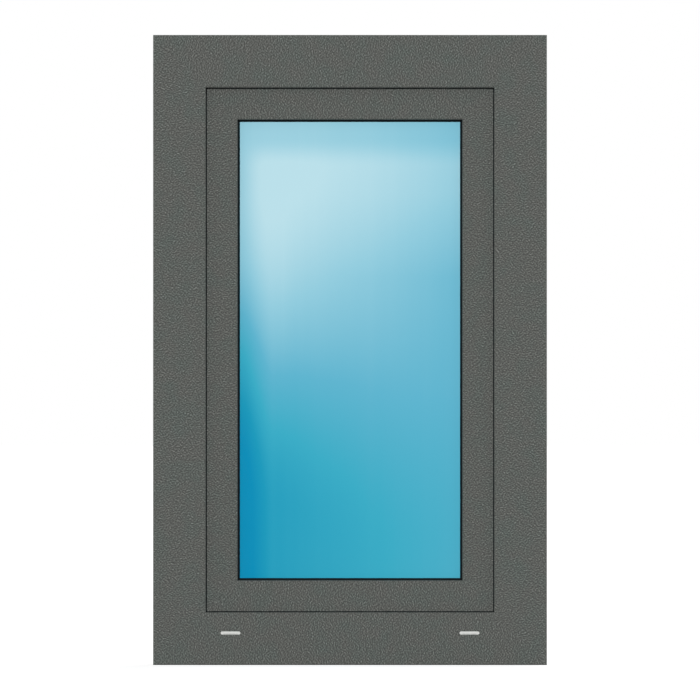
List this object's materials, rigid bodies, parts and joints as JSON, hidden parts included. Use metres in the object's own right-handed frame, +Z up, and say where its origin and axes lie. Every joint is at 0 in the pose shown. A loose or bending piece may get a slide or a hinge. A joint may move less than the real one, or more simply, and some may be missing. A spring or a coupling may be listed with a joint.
{
  "type": "window",
  "caption": "Inward-opening window: mitred dark grey plastic frame and sash with black seals, sealed glass unit, clipped beads, drain slots, handle and hinges.",
  "frame": {"origin": "middle of the frame's flat bottom face, at the window's mid width and the frame's mid depth", "axes": "+Z up, +X to the right seen from outside, -Y out through the outside face; the room is at +Y"},
  "size_m": [0.5, 0.133, 0.8],
  "materials": {
    "foil_dark_grey": "dark grey grained foil, satin",
    "seal_black": "black seal",
    "drain_light_grey": "light grey, smooth",
    "block_grey": "grey packer",
    "pane_blue": "blue coated glass, lighter towards the top",
    "pane_clear": "clear glass",
    "spacer_aluminium": "mill finish",
    "hardware_silver": "satin silver",
    "pin_steel": "zinc plated"
  },
  "bodies": {
    "root": {"frame_sill": "foil_dark_grey", "frame_head": "foil_dark_grey", "frame_jamb_left": "foil_dark_grey", "frame_jamb_right": "foil_dark_grey", "sash_bottom_rail": "foil_dark_grey", "sash_top_rail": "foil_dark_grey", "sash_stile_left": "foil_dark_grey", "sash_stile_right": "foil_dark_grey", "glazing_bead_bottom": "foil_dark_grey", "glazing_bead_top": "foil_dark_grey", "glazing_bead_left": "foil_dark_grey", "glazing_bead_right": "foil_dark_grey", "frame_gasket": "seal_black", "sash_gasket": "seal_black", "glazing_gasket_outer": "seal_black", "glazing_gasket_inner": "seal_black", "glass_edge_seal": "seal_black", "drain_cover_left": "drain_light_grey", "drain_cover_right": "drain_light_grey", "setting_block_left": "block_grey", "setting_block_right": "block_grey", "glass_pane_outer": "pane_blue", "glass_pane_inner": "pane_clear", "glass_spacer": "spacer_aluminium", "handle_plate": "hardware_silver", "handle_lever": "hardware_silver", "corner_bearing": "hardware_silver", "corner_hinge": "hardware_silver", "stay_bearing": "hardware_silver", "stay_hinge": "hardware_silver", "corner_pin": "pin_steel", "stay_pin": "pin_steel"}
  },
  "joints": []
}
